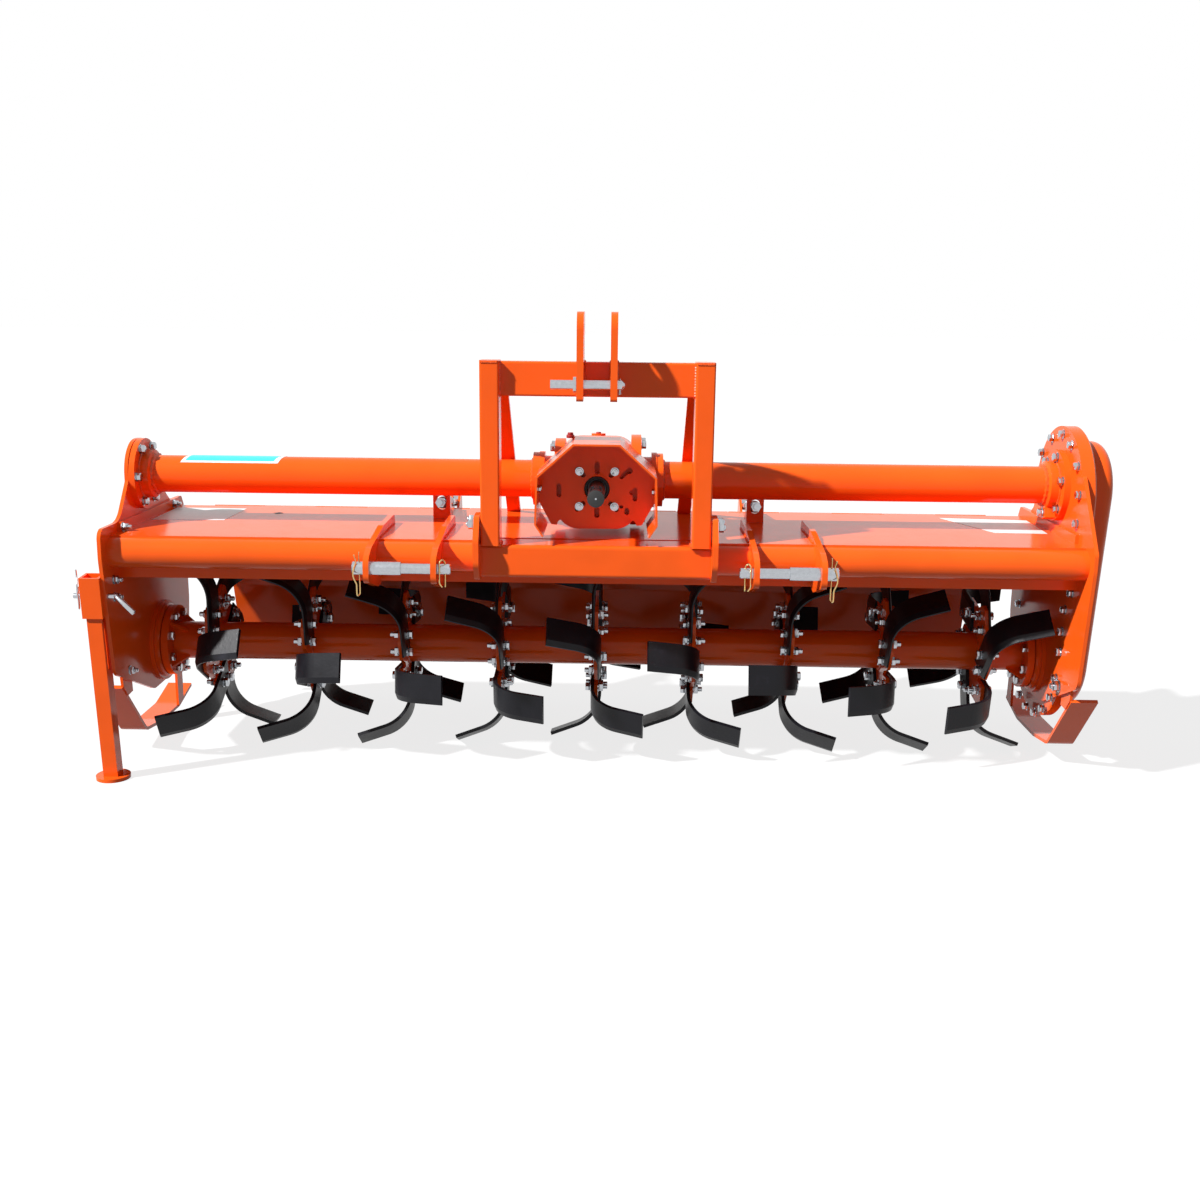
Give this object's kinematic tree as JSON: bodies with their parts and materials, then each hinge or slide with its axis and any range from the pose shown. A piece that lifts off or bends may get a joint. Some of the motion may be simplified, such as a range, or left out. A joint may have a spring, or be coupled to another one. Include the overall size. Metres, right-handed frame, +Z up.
{
  "type": "rotary tiller",
  "caption": "Tractor-mounted rotary tiller with curved soil blades on a turning rotor, side gear case, hinged rear board, three-point mast and parking stand.",
  "frame": {"origin": "centre of the overall footprint, on the floor the machine is parked on", "axes": "+X to the right as seen from the hitch side, -Y towards the tractor, +Z up; the rotor turns about a line along +X"},
  "size_m": [2.253, 0.742, 1.031],
  "materials": {
    "orange_paint": "glossy orange paint",
    "blade_black": "satin black",
    "zinc_steel": "zinc plated",
    "shaft_steel": "oiled dark steel"
  },
  "bodies": {
    "frame": {"left_side_plate": "orange_paint", "right_side_plate": "orange_paint", "gear_case": "orange_paint", "gear_case_cover": "orange_paint", "hood_deck": "orange_paint", "front_panel": "orange_paint", "front_tube_left": "orange_paint", "front_tube_right": "orange_paint", "beam_tube_left": "orange_paint", "beam_tube_right": "orange_paint", "gearbox_housing": "orange_paint", "gearbox_front_plate": "orange_paint", "input_guard": "orange_paint", "mast_base": "orange_paint", "mast_post_left": "orange_paint", "mast_post_right": "orange_paint", "mast_crossbeam": "orange_paint", "top_link_ears": "orange_paint", "top_link_pin": "zinc_steel", "mast_brace_left": "orange_paint", "mast_brace_right": "orange_paint", "mast_bracket_left": "orange_paint", "mast_bracket_right": "orange_paint", "lower_clevis_left": "orange_paint", "lower_clevis_right": "orange_paint", "lower_pin_left": "zinc_steel", "lower_pin_right": "zinc_steel", "hinge_knuckles": "orange_paint", "hinge_rod": "zinc_steel", "rod_bracket_left": "orange_paint", "rod_bracket_right": "orange_paint", "bearing_left": "orange_paint", "bearing_right": "orange_paint", "skid_left": "orange_paint", "skid_right": "orange_paint", "stand_sleeve": "orange_paint", "stand_pin": "zinc_steel"},
    "rotor": {"rotor_tube": "orange_paint", "blades_left": "blade_black", "blades_middle": "blade_black", "blades_right": "blade_black"},
    "input": {"input_shaft": "shaft_steel"},
    "board": {"trailing_board": "orange_paint"},
    "rod_left": {"board_rod_left": "zinc_steel"},
    "rod_right": {"board_rod_right": "zinc_steel"},
    "stand": {"stand_leg": "orange_paint"}
  },
  "joints": [
    {"name": "rotor_spin", "type": "hinge", "parent": "frame", "child": "rotor", "pos_m": [0, 0.04, 0.245], "axis": [1, 0, 0], "continuous": true},
    {"name": "input_spin", "type": "hinge", "parent": "frame", "child": "input", "pos_m": [0, -0.235, 0.657], "axis": [0, -1, 0], "continuous": true},
    {"name": "board_swing", "type": "hinge", "parent": "frame", "child": "board", "pos_m": [0, 0.195, 0.539], "axis": [1, 0, 0], "range_deg": [0, 40]},
    {"name": "board_rod_left_pivot", "type": "hinge", "parent": "board", "child": "rod_left", "pos_m": [-0.366, 0.305, 0.55], "axis": [1, 0, 0], "range_deg": [-26, 0]},
    {"name": "board_rod_right_pivot", "type": "hinge", "parent": "board", "child": "rod_right", "pos_m": [0.366, 0.305, 0.55], "axis": [1, 0, 0], "range_deg": [-26, 0]},
    {"name": "stand_slide", "type": "slide", "parent": "frame", "child": "stand", "axis": [0, -0.0698, 0.9976], "range_m": [0, 0.16]}
  ],
  "couplings": [
    {"joint": "input_spin", "follows": "rotor_spin", "ratio": 2.5714},
    {"joint": "board_rod_left_pivot", "follows": "board_swing", "ratio": -0.626},
    {"joint": "board_rod_right_pivot", "follows": "board_swing", "ratio": -0.626}
  ]
}
